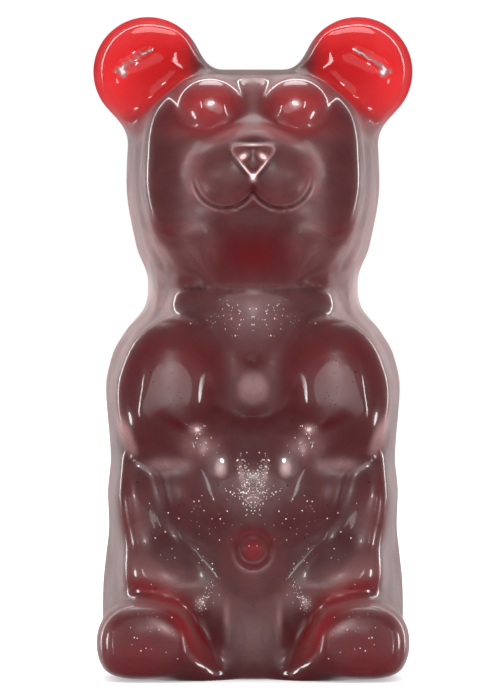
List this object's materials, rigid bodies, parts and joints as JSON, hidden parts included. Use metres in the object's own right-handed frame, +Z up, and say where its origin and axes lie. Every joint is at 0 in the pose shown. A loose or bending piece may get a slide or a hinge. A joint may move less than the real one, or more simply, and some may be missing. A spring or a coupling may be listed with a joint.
{
  "type": "giant gummy bear",
  "caption": "Seated bear of firm dark cherry jelly with folded arms, forward soles and bright red ears, cast with a flat back and a level base.",
  "frame": {"origin": "middle of the base that the bear stands on", "axes": "+Z up towards the ears, -Y towards the nose and the soles, +Y out of the flat back, +X towards the bear's left paw"},
  "size_m": [0.119, 0.089, 0.2413],
  "materials": {
    "gummy_gel": "glossy wet-looking jelly, dark cherry where thick and bright red in the thin ears"
  },
  "bodies": {
    "root": {"gummy_bear": "gummy_gel"}
  },
  "joints": []
}
